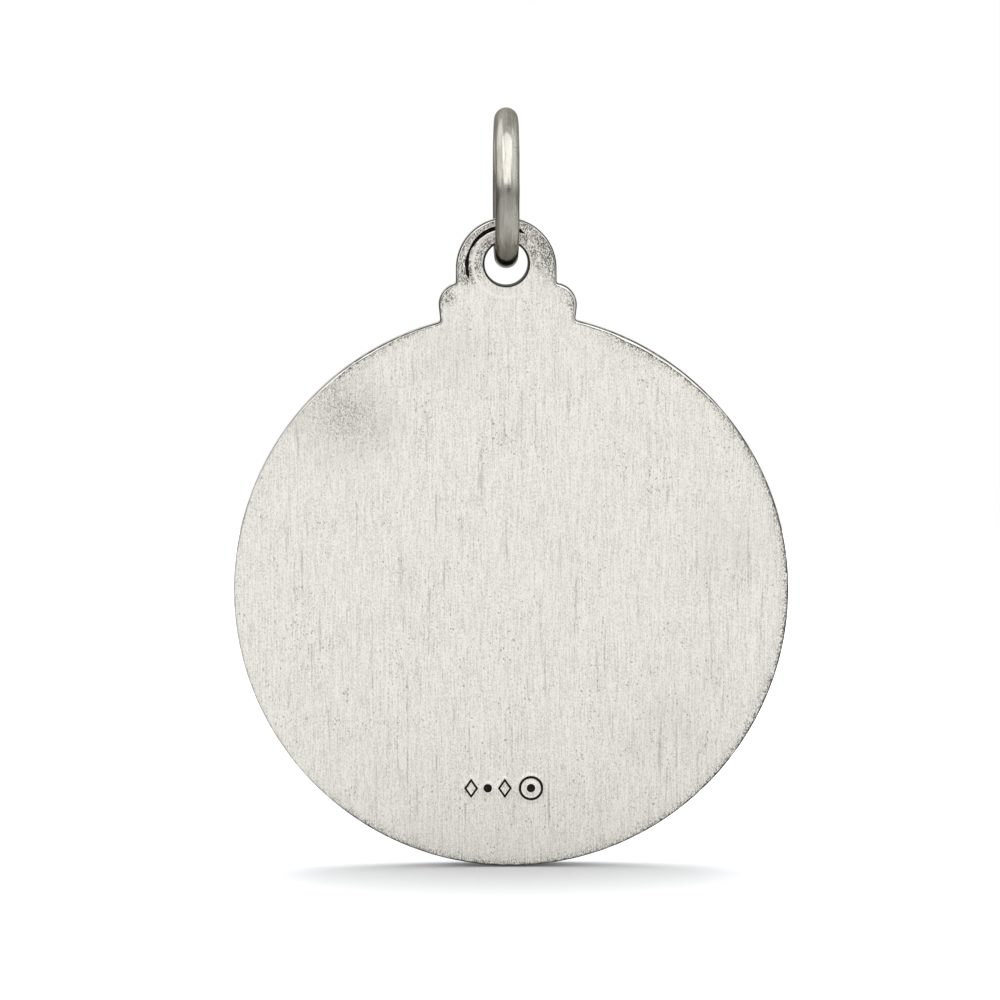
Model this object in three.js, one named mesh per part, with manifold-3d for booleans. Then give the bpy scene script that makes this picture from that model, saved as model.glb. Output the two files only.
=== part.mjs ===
import * as THREE from 'three';
import { mergeVertices } from 'three/addons/utils/BufferGeometryUtils.js';
import Module from 'manifold-3d';

// A religious medal pendant in silver: a round cast medal with a shouldered ear,
// which hangs by the hole in that ear from a closed, soldered jump ring.
// Millimetres, +Z up. The origin is the inside top of the jump ring, where a chain carries it.
// The plain back of the medal faces -Y, and its front faces +Y.

// Jump ring
const ringOuterDiameter = 6.35;
const wireDiameter = 0.95;
const ringSides = 48;
const wireSides = 12;

// Plate: the disc and the ear are one thickness, with one flat back
const discDiameter = 22;
const plateThickness = 1.2;
const edgeBreak = 0.08;
const discShift = 0.2;
const discSides = 96;

// Ear and its hole
const holePlay = 0.77;
const earWall = 1.125;
const earRise = 1.77;
const holeRise = 0.18;
const hangGap = 0.05;
const earSides = 36;
const holeSides = 32;

// Shoulders: one rounded lobe on each side, between the ear and the disc
const lobeRadius = 0.85;
const lobeReach = 2.73;
const lobeRise = 0.32;
const lobeFootReach = 2.66;
const lobeTurnUnder = 8;
const lobeSides = 30;

// Raised border and inner line on the front
const borderSetback = 0.15;
const borderWidth = 0.85;
const borderHeight = 0.35;
const borderSlope = 0.1;
const lineGap = 0.5;
const lineWidth = 0.25;
const lineHeight = 0.15;

// Cross and rays on the front
const crossHeight = 12.6;
const crossSpan = 8.8;
const crossBarWidth = 1.8;
const crossBarDrop = 4.4;
const crossRelief = 0.3;
const crossSlope = 0.14;
const raysPerQuarter = 5;
const rayWidth = 0.7;
const rayRelief = 0.16;
const rayGap = 0.35;
const rayShortShare = 0.72;

// How far raised work is rooted in the plate, and how far a cutter stands out of it
const root = 0.3;

// Thin crescent groove in the back of the ear, round the hole
const grooveRadius = 1.49;
const grooveWidth = 0.17;
const grooveDepth = 0.2;
const grooveStart = 201;
const grooveEnd = 58;
const grooveSteps = 14;

// Row of small plain punches low on the back
const punchRowDrop = 7.9;
const punchHeight = 0.8;
const punchStroke = 0.1;
const punchDepth = 0.1;
const lozengeWidth = 0.56;
const dotDiameter = 0.34;
const eyeletDiameter = 0.98;
const firstLozengeX = -1.6;
const dotX = -0.94;
const secondLozengeX = -0.26;
const eyeletX = 0.78;
const dotSides = 12;
const eyeletSides = 24;

// Worked out from the sizes above
const wireRadius = wireDiameter / 2;
const ringInnerRadius = ringOuterDiameter / 2 - wireDiameter;
const ringMidRadius = ringInnerRadius + wireRadius;
const discRadius = discDiameter / 2;
const holeRadius = wireRadius + holePlay / 2;
const earRadius = holeRadius + earWall;
const earCentreZ = discRadius + earRise;
const holeCentreZ = earCentreZ + holeRise;
const back = -plateThickness / 2;
const front = plateThickness / 2;

// The ring's inner edge curves up where it leaves the hole, so the hole's lip bears there
const bearingReach = plateThickness / 2 - edgeBreak;
const bearingRise = ringInnerRadius - Math.sqrt(ringInnerRadius ** 2 - bearingReach ** 2);
const holeTopZ = -2 * ringInnerRadius + bearingRise + hangGap;
const discCentreZ = holeTopZ - holeRadius - holeCentreZ;

const wasm = await Module();
wasm.setup();

const silver = { color: 0xdad8d1, metalness: 1 };
const brushedSilver = new THREE.MeshStandardMaterial({ ...silver, roughness: 0.42 });
const polishedSilver = new THREE.MeshStandardMaterial({ ...silver, color: 0xc9c4ba, roughness: 0.18 });

function radians(degrees) {
  return (degrees * Math.PI) / 180;
}

// Points on a circular arc, from one angle to another in degrees, at a share of a whole turn's sides
function arc(centreX, centreY, radius, from, to, sidesPerTurn) {
  const steps = Math.max(2, Math.round((Math.abs(to - from) / 360) * sidesPerTurn));
  const points = [];
  for (let i = 0; i <= steps; i += 1) {
    const angle = radians(from + ((to - from) * i) / steps);
    points.push(new THREE.Vector2(centreX + radius * Math.cos(angle), centreY + radius * Math.sin(angle)));
  }
  return points;
}

// A closed geometry as a solid that can be joined and cut
function toSolid(geometry) {
  const bare = geometry.clone();
  bare.deleteAttribute('normal');
  bare.deleteAttribute('uv');
  const merged = mergeVertices(bare, 1e-5);
  return new wasm.Manifold(new wasm.Mesh({
    numProp: 3,
    vertProperties: new Float32Array(merged.attributes.position.array),
    triVerts: new Uint32Array(merged.index.array),
  }));
}

// A finished solid as a geometry
function toGeometry(solid) {
  const mesh = solid.getMesh();
  const geometry = new THREE.BufferGeometry();
  geometry.setAttribute('position', new THREE.Float32BufferAttribute(mesh.vertProperties, 3));
  geometry.setIndex(Array.from(mesh.triVerts));
  geometry.computeVertexNormals();
  return geometry;
}

// A flat outline in X and Z, drawn out in Y from one level to another, with both rims sloped by a bevel
function slab(shape, fromY, toY, bevelSize = 0) {
  const geometry = new THREE.ExtrudeGeometry(shape, {
    depth: toY - fromY - 2 * bevelSize,
    bevelEnabled: bevelSize > 0,
    bevelSize,
    bevelThickness: bevelSize,
    bevelOffset: -bevelSize,
    bevelSegments: 1,
  });
  geometry.rotateX(Math.PI / 2);
  geometry.translate(0, toY - bevelSize, 0);
  return geometry;
}

// Shapes below are in the medal's own frame, whose origin is the disc's centre
const earX = -discShift;

// Outline of the plate: over the ear, down one shoulder, round the disc and up the other shoulder
function plateShape() {
  const lobeX = lobeReach - lobeRadius;
  const lobeZ = discRadius + lobeRise;
  const flankAngle = (Math.acos((earRadius - lobeX) / lobeRadius) * 180) / Math.PI;
  const footRightX = earX + lobeFootReach;
  const footLeftX = earX - lobeFootReach;
  const footRight = (Math.acos(footRightX / discRadius) * 180) / Math.PI;
  const footLeft = (Math.acos(footLeftX / discRadius) * 180) / Math.PI;
  const outline = [
    ...arc(earX, earCentreZ, earRadius, 180, 0, earSides),
    ...arc(earX + lobeX, lobeZ, lobeRadius, flankAngle, -lobeTurnUnder, lobeSides),
    ...arc(0, 0, discRadius, footRight, footLeft - 360, discSides),
    ...arc(earX - lobeX, lobeZ, lobeRadius, 180 + lobeTurnUnder, 180 - flankAngle, lobeSides),
  ];
  const shape = new THREE.Shape(outline);
  shape.holes.push(new THREE.Path(arc(earX, holeCentreZ, holeRadius, 0, 360, holeSides).slice(0, -1)));
  return shape;
}

// A low ring on the front, with a sloped flank on each side
function raisedRing(outerRadius, width, height, slope) {
  const profile = [
    new THREE.Vector2(outerRadius - width, front - root),
    new THREE.Vector2(outerRadius, front - root),
    new THREE.Vector2(outerRadius, front),
    new THREE.Vector2(outerRadius - slope, front + height),
    new THREE.Vector2(outerRadius - width + slope, front + height),
    new THREE.Vector2(outerRadius - width, front),
    new THREE.Vector2(outerRadius - width, front - root),
  ];
  return new THREE.LatheGeometry(profile, discSides);
}

const borderOuterRadius = discRadius - borderSetback;
const lineOuterRadius = borderOuterRadius - borderWidth - lineGap;
const crossingZ = crossHeight / 2 - crossBarDrop;

// Latin cross with bevelled arms, centred on the disc
function cross() {
  const half = crossBarWidth / 2;
  const top = crossHeight / 2;
  const arm = crossSpan / 2;
  const corners = [
    [half, top],
    [half, crossingZ + half],
    [arm, crossingZ + half],
    [arm, crossingZ - half],
    [half, crossingZ - half],
    [half, -top],
  ];
  const right = corners.map(([x, z]) => new THREE.Vector2(x, z));
  const left = corners.map(([x, z]) => new THREE.Vector2(-x, z)).reverse();
  return slab(new THREE.Shape([...right, ...left]), front - root, front + crossRelief, crossSlope);
}

// A ray: a long low ridge that leaves the crossing and narrows to a point
function ray(angle, share) {
  const directionX = Math.cos(radians(angle));
  const directionZ = Math.sin(radians(angle));
  const reach = lineOuterRadius - lineWidth - rayGap;
  const along = crossingZ * directionZ;
  const length = share * (Math.sqrt(along ** 2 + reach ** 2 - crossingZ ** 2) - along);
  const ridge = new THREE.ConeGeometry(rayWidth / 2, length, 4);
  ridge.translate(0, length / 2, 0);
  ridge.scale(1, 1, rayRelief / (rayWidth / 2));
  ridge.rotateX(Math.PI / 2);
  ridge.rotateY(Math.PI / 2 - radians(angle));
  ridge.translate(0, front, crossingZ);
  return ridge;
}

function rays() {
  const ridges = [];
  const step = 90 / (raysPerQuarter + 1);
  for (let quarter = 0; quarter < 4; quarter += 1) {
    for (let i = 1; i <= raysPerQuarter; i += 1) {
      ridges.push(ray(quarter * 90 + i * step, i % 2 === 1 ? rayShortShare : 1));
    }
  }
  return ridges;
}

// Crescent round the hole, widest halfway along and pointed at both ends
function grooveCutter() {
  const outer = [];
  const inner = [];
  for (let i = 0; i <= grooveSteps; i += 1) {
    const share = i / grooveSteps;
    const angle = radians(grooveStart + (grooveEnd - grooveStart) * share);
    const halfWidth = (grooveWidth / 2) * Math.sin(Math.PI * share);
    const point = (radius) => new THREE.Vector2(
      earX + radius * Math.cos(angle),
      holeCentreZ + radius * Math.sin(angle),
    );
    outer.push(point(grooveRadius + halfWidth));
    if (i > 0 && i < grooveSteps) {
      inner.unshift(point(grooveRadius - halfWidth));
    }
  }
  return slab(new THREE.Shape([...outer, ...inner]), back - root, back + grooveDepth);
}

function lozenge(x, halfWidth, halfHeight) {
  return new THREE.Shape([
    new THREE.Vector2(x, halfHeight - punchRowDrop),
    new THREE.Vector2(x + halfWidth, -punchRowDrop),
    new THREE.Vector2(x, -halfHeight - punchRowDrop),
    new THREE.Vector2(x - halfWidth, -punchRowDrop),
  ]);
}

// A punch's shape as a cutter that reaches into the back
function punchCutter(shape) {
  return toSolid(slab(shape, back - root, back + punchDepth));
}

function lozengeCutter(x) {
  const halfWidth = lozengeWidth / 2;
  const halfHeight = punchHeight / 2;
  const inner = 1 - punchStroke / halfWidth;
  const core = punchCutter(lozenge(x, halfWidth * inner, halfHeight * inner));
  return punchCutter(lozenge(x, halfWidth, halfHeight)).subtract(core);
}

function disc(x, radius, sides) {
  return arc(x, -punchRowDrop, radius, 0, 360, sides).slice(0, -1);
}

function eyeletRim() {
  const shape = new THREE.Shape(disc(eyeletX, eyeletDiameter / 2, eyeletSides));
  shape.holes.push(new THREE.Path(disc(eyeletX, eyeletDiameter / 2 - punchStroke, eyeletSides)));
  return shape;
}

function dotCutter(x) {
  return punchCutter(new THREE.Shape(disc(x, dotDiameter / 2, dotSides)));
}

function punchCutters() {
  return [
    lozengeCutter(firstLozengeX),
    dotCutter(dotX),
    lozengeCutter(secondLozengeX),
    punchCutter(eyeletRim()),
    dotCutter(eyeletX),
  ];
}

function medalGeometry() {
  let medal = toSolid(slab(plateShape(), back, front, edgeBreak));
  const raised = [
    raisedRing(borderOuterRadius, borderWidth, borderHeight, borderSlope),
    raisedRing(lineOuterRadius, lineWidth, lineHeight, lineWidth / 4),
    cross(),
    ...rays(),
  ];
  for (const geometry of raised) {
    medal = medal.add(toSolid(geometry));
  }
  for (const cutter of [toSolid(grooveCutter()), ...punchCutters()]) {
    medal = medal.subtract(cutter);
  }
  return toGeometry(medal);
}

const medal = new THREE.Mesh(medalGeometry(), brushedSilver);
medal.name = 'medal';
medal.position.set(discShift, 0, discCentreZ);

// The ring stands square to the medal, in the Y and Z plane
const jumpRing = new THREE.Mesh(
  new THREE.TorusGeometry(ringMidRadius, wireRadius, wireSides, ringSides),
  polishedSilver,
);
jumpRing.name = 'jump_ring';
jumpRing.rotation.y = Math.PI / 2;
jumpRing.position.z = -ringInnerRadius;

const pendant = new THREE.Group();
pendant.add(jumpRing, medal);

export default pendant;
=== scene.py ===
"""A religious medal pendant in silver, seen from its plain brushed back.

The medal is one fine mesh in place of its CAD node, and so is the jump ring. Outlines are worked out
in millimetres in the medal's own frame, whose origin is the disc's centre, and turned into metres
when a mesh is made. Materials follow the shapes, and the camera, lights and floor come last.
"""
import math

import bmesh
import bpy
import numpy as np
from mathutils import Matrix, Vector, noise
from mathutils.geometry import delaunay_2d_cdt


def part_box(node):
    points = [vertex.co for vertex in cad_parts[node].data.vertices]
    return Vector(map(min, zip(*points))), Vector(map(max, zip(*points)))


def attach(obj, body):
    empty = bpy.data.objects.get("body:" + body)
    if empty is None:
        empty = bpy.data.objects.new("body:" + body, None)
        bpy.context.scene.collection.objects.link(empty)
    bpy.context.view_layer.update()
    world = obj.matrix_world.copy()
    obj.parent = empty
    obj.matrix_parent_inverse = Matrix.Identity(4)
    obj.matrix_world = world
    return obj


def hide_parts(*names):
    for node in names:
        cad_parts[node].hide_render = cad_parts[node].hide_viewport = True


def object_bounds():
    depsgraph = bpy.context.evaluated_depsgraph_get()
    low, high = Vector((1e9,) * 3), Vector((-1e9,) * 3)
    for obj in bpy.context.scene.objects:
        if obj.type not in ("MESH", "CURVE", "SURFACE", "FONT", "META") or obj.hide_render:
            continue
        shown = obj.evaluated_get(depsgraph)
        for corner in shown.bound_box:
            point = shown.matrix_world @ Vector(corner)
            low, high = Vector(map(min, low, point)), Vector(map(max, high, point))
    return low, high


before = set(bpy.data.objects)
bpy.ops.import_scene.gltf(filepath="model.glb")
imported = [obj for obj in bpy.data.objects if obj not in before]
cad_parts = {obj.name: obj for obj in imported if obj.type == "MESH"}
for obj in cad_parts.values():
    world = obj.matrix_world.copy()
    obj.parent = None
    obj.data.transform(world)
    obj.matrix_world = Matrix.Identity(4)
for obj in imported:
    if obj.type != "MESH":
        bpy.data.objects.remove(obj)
CAD_LOW, CAD_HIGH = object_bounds()

MM = 0.001

# Medal, in millimetres
DISC_RADIUS = 11.0
DISC_SHIFT = 0.2
PLATE = 1.2
EAR_RADIUS = 1.985
EAR_RISE = 1.77
HOLE_RISE = 0.18
HOLE_RADIUS = 0.86
LOBE_RADIUS = 0.85
LOBE_REACH = 2.73
LOBE_RISE = 0.32
LOBE_FOOT_REACH = 2.66
LOBE_TURN_UNDER = 8.0
LOBE_SHIFT = 0.06

# Raised work on the front, in millimetres
BORDER_SETBACK = 0.15
BORDER_WIDTH = 0.85
BORDER_HEIGHT = 0.35
LINE_GAP = 0.5
LINE_WIDTH = 0.25
LINE_HEIGHT = 0.15
CROSS_HEIGHT = 12.6
CROSS_SPAN = 8.8
CROSS_BAR = 1.8
CROSS_BAR_DROP = 4.4
CROSS_RELIEF = 0.3
CROSS_SLOPE = 0.14
CROSS_RIM = 0.16
CROSS_SUNK = 0.05
RAYS_PER_QUARTER = 5
RAY_WIDTH = 0.7
RAY_RELIEF = 0.16
RAY_GAP = 0.35
RAY_SHORT = 0.72
ROOT = 0.3

# Cuts in the back, in millimetres
GROOVE_START = 201.0
GROOVE_END = 58.0
GROOVE_DEPTH = 0.2
# Along the crescent groove, from its first end to its last: share of the way, radius, width
GROOVE = [
    (0.0, 1.59, 0.02), (0.05, 1.58, 0.11), (0.14, 1.56, 0.15), (0.27, 1.54, 0.08), (0.42, 1.51, 0.11),
    (0.56, 1.48, 0.14), (0.70, 1.45, 0.17), (0.82, 1.42, 0.10), (0.93, 1.40, 0.12), (1.0, 1.38, 0.02),
]
PUNCH_DROP = 7.9
PUNCH_HEIGHT = 0.8
PUNCH_STROKE = 0.1
PUNCH_DEPTH = 0.1
LOZENGE_WIDTH = 0.56
DOT_DIAMETER = 0.34
DOT_SLOPE = 0.35
EYELET_DIAMETER = 0.98
LOZENGES_X = (-1.6, -0.26)
DOT_X = -0.94
EYELET_X = 0.78

BACK = -PLATE / 2
FRONT = PLATE / 2
EAR_X = -DISC_SHIFT
EAR_Z = DISC_RADIUS + EAR_RISE
HOLE_Z = EAR_Z + HOLE_RISE

# Places in the row frame, from the CAD boxes
MEDAL_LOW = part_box("medal")[0]
RING_LOW, RING_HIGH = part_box("jump_ring")
DISC_CENTRE = Vector((DISC_SHIFT * MM, 0.0, MEDAL_LOW[2] + DISC_RADIUS * MM))
DISC_TOP = DISC_CENTRE.z / MM + DISC_RADIUS


def arc(centre_x, centre_z, radius, start, end, spacing):
    """Points on an arc from one angle to another in degrees, about one spacing apart."""
    length = abs(math.radians(end - start)) * radius
    steps = max(2, round(length / spacing))
    angles = [math.radians(start + (end - start) * i / steps) for i in range(steps + 1)]
    return [(centre_x + radius * math.cos(a), centre_z + radius * math.sin(a)) for a in angles]


def straight(start, end, spacing):
    """Points between two ends, without the ends."""
    steps = max(2, round(math.dist(start, end) / spacing))
    return [
        (start[0] + (end[0] - start[0]) * i / steps, start[1] + (end[1] - start[1]) * i / steps)
        for i in range(1, steps)
    ]


def plate_outline(disc_spacing=0.085, ear_spacing=0.05, rounds=3):
    """The medal's outline, clockwise from the ear's left side, with its inner corners softened."""
    lobe_z = DISC_RADIUS + LOBE_RISE
    middle = EAR_X + LOBE_SHIFT
    right_x = middle + LOBE_REACH - LOBE_RADIUS
    left_x = middle - LOBE_REACH + LOBE_RADIUS
    right_flank = math.degrees(math.acos((EAR_X + EAR_RADIUS - right_x) / LOBE_RADIUS))
    left_flank = math.degrees(math.acos((EAR_X - EAR_RADIUS - left_x) / LOBE_RADIUS))
    foot_right = math.degrees(math.acos((middle + LOBE_FOOT_REACH) / DISC_RADIUS))
    foot_left = math.degrees(math.acos((middle - LOBE_FOOT_REACH) / DISC_RADIUS))
    ear = arc(EAR_X, EAR_Z, EAR_RADIUS, 180, 0, ear_spacing)
    right = arc(right_x, lobe_z, LOBE_RADIUS, right_flank, -LOBE_TURN_UNDER, ear_spacing)
    disc = arc(0, 0, DISC_RADIUS, foot_right, foot_left - 360, disc_spacing)
    left = arc(left_x, lobe_z, LOBE_RADIUS, 180 + LOBE_TURN_UNDER, left_flank, ear_spacing)
    sections = [ear, right, disc, left]
    points = []
    for section, following in zip(sections, sections[1:] + sections[:1]):
        points += section + straight(section[-1], following[0], ear_spacing)
    outline = np.array(points)
    near_ear = outline[:, 1] > DISC_RADIUS - 0.6
    for _ in range(rounds):
        between = (np.roll(outline, 1, axis=0) + np.roll(outline, -1, axis=0)) / 2
        outline[near_ear] = (outline[near_ear] + between[near_ear]) / 2
    return outline


def inward(outline):
    """Unit normals that point into a clockwise outline."""
    along = np.roll(outline, -1, axis=0) - np.roll(outline, 1, axis=0)
    along /= np.linalg.norm(along, axis=1)[:, None]
    return np.stack([along[:, 1], -along[:, 0]], axis=1)


def bump_at(angle, centre, width):
    """1 at a centre angle in degrees, falling to 0 at that width on either side."""
    away = abs((angle - centre + 180) % 360 - 180) / width
    return (1 - away * away) ** 2 if away < 1 else 0.0


# Small dents in the rim: angle and half width in degrees, seen from the back, and depth in millimetres
RIM_DENTS = [
    (-90.3, 1.1, 0.05), (-69.0, 0.9, 0.045), (-36.3, 1.3, 0.06), (27.6, 1.0, 0.05),
    (-118.0, 0.8, 0.03), (-150.0, 0.9, 0.035), (2.0, 0.8, 0.035), (152.0, 1.0, 0.03),
]
# Width of the filed bevel round the back, in millimetres
BACK_BEVEL = 0.035
LEFT_LOBE_BEVEL = 0.055
RIGHT_LOBE_BEVEL = 0.090
EAR_BEVEL = 0.070
# Where the disc's bevel is wider: angle in degrees seen from the back, half width in degrees, extra
BEVEL_SWELLS = [(60, 36, 0.078), (126, 34, 0.035)]
# How far above the disc's radius the shoulders and the ear begin
LOBE_BEVEL_FROM = -0.35
EAR_BEVEL_FROM = 1.3
NARROWEST_BEVEL = 0.012
# The bevel's height as a share of its width
BEVEL_FALL = 1.25
# How far from the bevel, the outline and the hole the surface still tells its distance, in millimetres
LIP_REACH = 0.2
HOLE_REACH = 0.16
# Rows of the back's edge, from the flat face to the wall. Inset, then level above the back face, each
# as a share of the bevel's width and in millimetres: share, inset, fall, level
BACK_EDGE = [
    (1, LIP_REACH, 0, 0), (1, 0.10, 0, 0), (1, 0.035, 0, 0), (1, 0.008, 0, 0.002), (0.72, 0, 0.22, 0),
    (0.34, 0, 0.55, 0), (0.08, 0, 0.95, 0), (0, 0, BEVEL_FALL, 0.01), (0, 0, BEVEL_FALL, 0.08),
    (0, 0, 0, 0.45),
]
# Rows of the front's edge, from the wall to the flat face: inset and distance below the front face
FRONT_EDGE = [(0, 0.12), (0.012, 0.05), (0.045, 0.012), (0.09, 0), (0.13, 0)]
# Rows of the hole, from the back to the front: widening and level
HOLE_EDGE = [
    (HOLE_REACH, BACK), (0.06, BACK), (0.026, BACK + 0.003), (0.009, BACK + 0.014), (0.0, BACK + 0.045),
    (0.0, 0.0), (0.0, FRONT - 0.075), (0.022, FRONT - 0.025), (0.05, FRONT - 0.006), (0.085, FRONT),
    (0.16, FRONT),
]
HOLE_SPACING = 0.05


def bevel_widths(outline):
    """Width of the filed bevel at each point of the back edge: wider at the ear and the upper right."""
    widths = []
    for x, z in outline:
        angle = math.degrees(math.atan2(z, x))
        if z > DISC_RADIUS + EAR_BEVEL_FROM:
            width = EAR_BEVEL
        elif z > DISC_RADIUS + LOBE_BEVEL_FROM:
            width = RIGHT_LOBE_BEVEL if x > 0 else LEFT_LOBE_BEVEL
        else:
            swells = [extra * bump_at(angle, centre, half) for centre, half, extra in BEVEL_SWELLS]
            width = BACK_BEVEL + sum(swells)
        wander = noise.noise(Vector((x * 0.9, z * 0.9, 3.1)))
        chatter = noise.noise(Vector((x * 5.0, z * 5.0, 7.7)))
        widths.append(width * (1 + 0.35 * wander + 0.3 * chatter))
    widths = np.array(widths)
    for _ in range(4):
        widths = (np.roll(widths, 1) + 2 * widths + np.roll(widths, -1)) / 4
    for i, (x, z) in enumerate(outline):
        angle = math.degrees(math.atan2(z, x))
        widths[i] += sum(depth * bump_at(angle, centre, half) for centre, half, depth in RIM_DENTS)
    return np.maximum(widths, NARROWEST_BEVEL)


def make_mesh(name, points, faces, smooth=True):
    """A mesh object from points in millimetres in the medal's frame."""
    mesh = bpy.data.meshes.new(name)
    mesh.from_pydata([(DISC_CENTRE + Vector(p) * MM)[:] for p in points], [], faces)
    mesh.polygons.foreach_set("use_smooth", [smooth] * len(mesh.polygons))
    mesh.update()
    piece = bpy.data.objects.new(name, mesh)
    bpy.context.collection.objects.link(piece)
    return piece


def strip(first, second, count):
    """Quads between two closed loops of the same count, given the index of each one's first vertex."""
    return [
        (first + i, first + (i + 1) % count, second + (i + 1) % count, second + i)
        for i in range(count)
    ]


def cap(outer, inner, outer_start, inner_start, flip, extra=(), extra_start=0):
    """Triangles between an outer loop and an inner one in the X and Z plane, through extra points."""
    flat = [Vector(p) for p in outer] + [Vector(p) for p in inner] + [Vector(p) for p in extra]
    n, m = len(outer), len(inner)
    edges = [(i, (i + 1) % n) for i in range(n)] + [(n + i, n + (i + 1) % m) for i in range(m)]
    points, _, triangles, origins, _, _ = delaunay_2d_cdt(flat, edges, [], 0, 1e-7)
    starts = [outer_start + k for k in range(n)] + [inner_start + k for k in range(m)]
    starts += [extra_start + k for k in range(len(extra))]
    where = [starts[o[0]] for o in origins]
    centres = np.array([[sum(points[i][k] for i in t) / 3 for k in (0, 1)] for t in triangles])
    keep = inside(centres, outer) & ~inside(centres, inner)
    order = (0, 2, 1) if flip else (0, 1, 2)
    return [tuple(where[t[k]] for k in order) for t, kept in zip(triangles, keep) if kept]


def inside(points, loop):
    """For each point, whether a closed loop goes round it."""
    loop = np.asarray(loop)
    start, end = loop, np.roll(loop, -1, axis=0)
    x, z = points[:, 0][:, None], points[:, 1][:, None]
    spans = (start[:, 1] > z) != (end[:, 1] > z)
    rise = np.where(end[:, 1] == start[:, 1], 1e-12, end[:, 1] - start[:, 1])
    crossing = (end[:, 0] - start[:, 0]) * (z - start[:, 1]) / rise + start[:, 0]
    return (np.sum(spans & (x < crossing), axis=1) % 2).astype(bool)


# Where the back is worked enough to need a fine mesh: X and Z from and to, and spacing, in millimetres
WORKED = [(-3.1, 2.9, 10.6, 14.8, 0.062), (-2.15, 1.6, -8.6, -7.2, 0.045)]


def worked_points(outline, bevel):
    """Points of a fine mesh round the ear and the punches, clear of the edges' own rows."""
    found = []
    for low_x, high_x, low_z, high_z, step in WORKED:
        across = np.arange(low_x, high_x, step)
        up = np.arange(low_z, high_z, step)
        grid = np.array([(x + (step / 2 if j % 2 else 0), z) for j, z in enumerate(up) for x in across])
        apart, number = nearest_to(outline, grid)
        clear = inside(grid, outline) & (apart > bevel[number] + LIP_REACH + step * 0.6)
        clear &= np.linalg.norm(grid - [EAR_X, HOLE_Z], axis=1) > HOLE_RADIUS + HOLE_REACH + step * 0.6
        found += [tuple(p) for p in grid[clear]]
    return found


# Welts thrown up beside the cuts: height, distance from the cut and half width
GROOVE_WELT = (0.022, 0.05, 0.06)
PUNCH_WELT = (0.016, 0.04, 0.045)
# Hammering round the ear, broad and fine: height, waves to the millimetre, and layer of the noise
HAMMERING = [(0.010, 2.6, 1.7), (0.005, 7.0, 5.2)]


def welt(distance, height, centre, half):
    """A soft ridge at a distance from a cut."""
    return height * np.exp(-((distance - centre) / half) ** 2)


def worked_lift(points):
    """How far the back stands proud: welts beside the groove and punches, and soft hammering by the ear."""
    lift = np.zeros(len(points))
    line = np.array(groove_line())
    apart, number = nearest_to(line[:, :2], points)
    beyond = apart - line[number, 2]
    lift += welt(beyond, *GROOVE_WELT) * np.interp(beyond, [-0.02, 0.02], [0, 1])
    strokes = np.array([p for loop in punch_outlines() for p in loop])
    from_stroke, _ = nearest_to(strokes, points)
    lift += welt(from_stroke, *PUNCH_WELT)
    by_ear = np.clip((points[:, 1] - DISC_RADIUS - 0.4) / 1.2, 0, 1)
    clear = np.interp(np.linalg.norm(points - [EAR_X, HOLE_Z], axis=1) - HOLE_RADIUS, [0.15, 0.4], [0, 1])
    for height, waves, layer in HAMMERING:
        dents = np.array([noise.noise(Vector((x * waves, z * waves, layer))) for x, z in points])
        lift += by_ear * clear * height * dents
    return lift


def plate():
    """The plate: flat back and front, an uneven filed bevel round the back, and a lipped hole."""
    outline = plate_outline()
    normals = inward(outline)
    count = len(outline)
    bevel = bevel_widths(outline)
    # Each row goes round the outline at an inset and a level, from the back cap to the front cap
    rows = [(bevel * share + inset, BACK + bevel * fall + level) for share, inset, fall, level in BACK_EDGE]
    rows += [(inset, FRONT - below) for inset, below in FRONT_EDGE]
    points = []
    for inset, level in rows:
        edge = outline + normals * np.broadcast_to(inset, count)[:, None]
        levels = np.broadcast_to(level, count)
        points += [(edge[i, 0], levels[i], edge[i, 1]) for i in range(count)]
    faces = []
    for r in range(len(rows) - 1):
        faces += strip(r * count, (r + 1) * count, count)
    around = round(2 * math.pi * HOLE_RADIUS / HOLE_SPACING)
    hole_loops = []
    hole_start = len(points)
    for wider, level in HOLE_EDGE:
        radius = HOLE_RADIUS + wider
        loop = arc(EAR_X, HOLE_Z, radius, 0, 360, 2 * math.pi * radius / around)[:-1]
        hole_loops.append(loop)
        points += [(x, level, z) for x, z in loop]
    for r in range(len(HOLE_EDGE) - 1):
        faces += strip(hole_start + r * around, hole_start + (r + 1) * around, around)
    back_edge = [(p[0], p[2]) for p in points[:count]]
    last = (len(rows) - 1) * count
    front_edge = [(p[0], p[2]) for p in points[last:last + count]]
    worked = worked_points(outline, bevel)
    faces += cap(back_edge, hole_loops[0], 0, hole_start, False, worked, len(points))
    lifts = worked_lift(np.array(worked))
    points += [(x, BACK - lift, z) for (x, z), lift in zip(worked, lifts)]
    faces += cap(front_edge, hole_loops[-1], last, hole_start + (len(HOLE_EDGE) - 1) * around, True)
    piece = make_mesh("medal_plate", points, faces)
    outward(piece)
    return piece, outline, bevel


def outward(piece):
    """Makes a closed mesh's faces point out."""
    work = bmesh.new()
    work.from_mesh(piece.data)
    bmesh.ops.recalc_face_normals(work, faces=work.faces)
    work.to_mesh(piece.data)
    work.free()


def turned(name, profile, sides):
    """A closed profile of (radius, level) turned about the medal's axis."""
    points = []
    for i in range(sides):
        a = 2 * math.pi * i / sides
        points += [(r * math.cos(a), y, r * math.sin(a)) for r, y in profile]
    n = len(profile)
    faces = []
    for i in range(sides):
        j = (i + 1) % sides
        faces += [(i * n + k, i * n + (k + 1) % n, j * n + (k + 1) % n, j * n + k) for k in range(n)]
    piece = make_mesh(name, points, faces)
    outward(piece)
    return piece


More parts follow.
